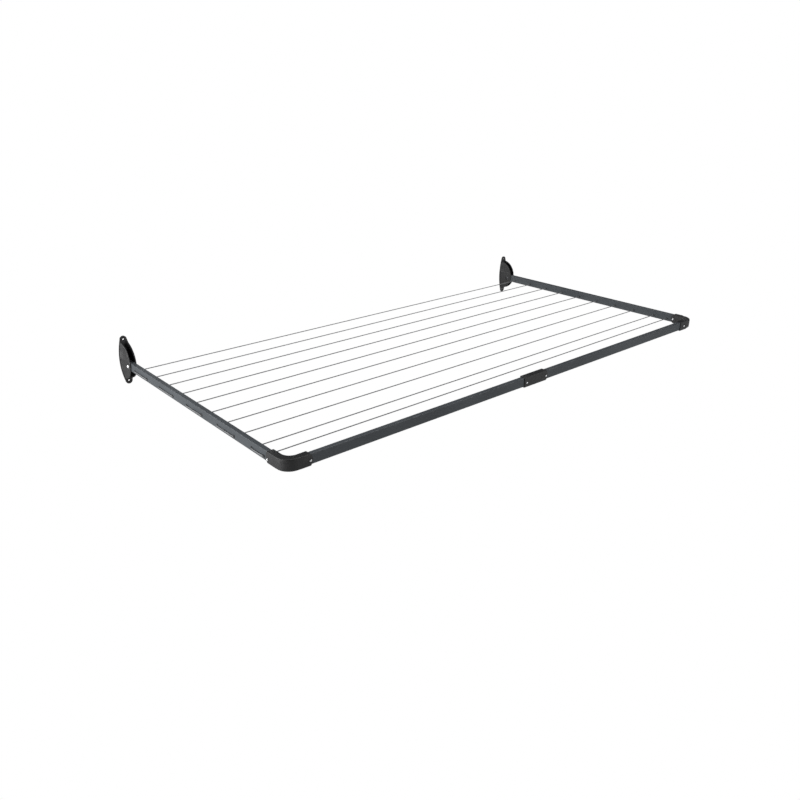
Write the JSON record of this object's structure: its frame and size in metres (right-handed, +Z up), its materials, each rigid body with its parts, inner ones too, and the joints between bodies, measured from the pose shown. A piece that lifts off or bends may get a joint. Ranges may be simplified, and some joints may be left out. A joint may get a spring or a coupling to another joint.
{
  "type": "wall mounted fold-down clothes line rack",
  "caption": "Wide rectangular frame that folds down from wall brackets and holds parallel clothes lines for drying laundry.",
  "frame": {"origin": "centre of the four wall screw holes, on the wall plane", "axes": "+X along the wall to the right as seen by someone facing the wall, +Y into the wall, so that the open rack reaches out along -Y, +Z up"},
  "size_m": [2.4413, 1.2809, 0.217],
  "materials": {
    "black_plastic": "fine-grained moulded black plastic",
    "frame_paint": "satin charcoal powder coat",
    "bright_steel": "bright stainless steel",
    "zinc_steel": "dull zinc plate",
    "black_steel": "blackened steel, lightly oiled",
    "nylon": "natural nylon",
    "line_cord": "smooth grey vinyl-covered cord"
  },
  "bodies": {
    "wall_brackets": {"left_bracket": "black_plastic", "right_bracket": "black_plastic", "left_pivot_bolt": "bright_steel", "right_pivot_bolt": "bright_steel", "left_pivot_screw": "black_steel", "right_pivot_screw": "black_steel", "left_pivot_washers": "zinc_steel", "right_pivot_washers": "zinc_steel"},
    "line_frame": {"left_arm": "frame_paint", "right_arm": "frame_paint", "left_arm_plug": "black_plastic", "right_arm_plug": "black_plastic", "left_pivot_bushes": "nylon", "right_pivot_bushes": "nylon", "left_line_bushes": "black_plastic", "right_line_bushes": "black_plastic", "left_corner": "black_plastic", "right_corner": "black_plastic", "left_front_rail": "frame_paint", "right_front_rail": "frame_paint", "front_joiner": "black_plastic", "front_spigot": "zinc_steel", "left_corner_screws": "bright_steel", "right_corner_screws": "bright_steel", "joiner_screws": "bright_steel", "line_run_01": "line_cord", "line_run_02": "line_cord", "line_run_03": "line_cord", "line_run_04": "line_cord", "line_run_05": "line_cord", "line_run_06": "line_cord", "line_run_07": "line_cord", "line_run_08": "line_cord", "line_run_09": "line_cord", "line_run_10": "line_cord", "left_line_returns": "line_cord", "right_line_returns": "line_cord", "line_end_knots": "line_cord"}
  },
  "joints": [
    {"name": "fold_down", "type": "hinge", "parent": "wall_brackets", "child": "line_frame", "pos_m": [0, -0.055, -0.013], "axis": [1, 0, 0], "range_deg": [0, 90]}
  ]
}
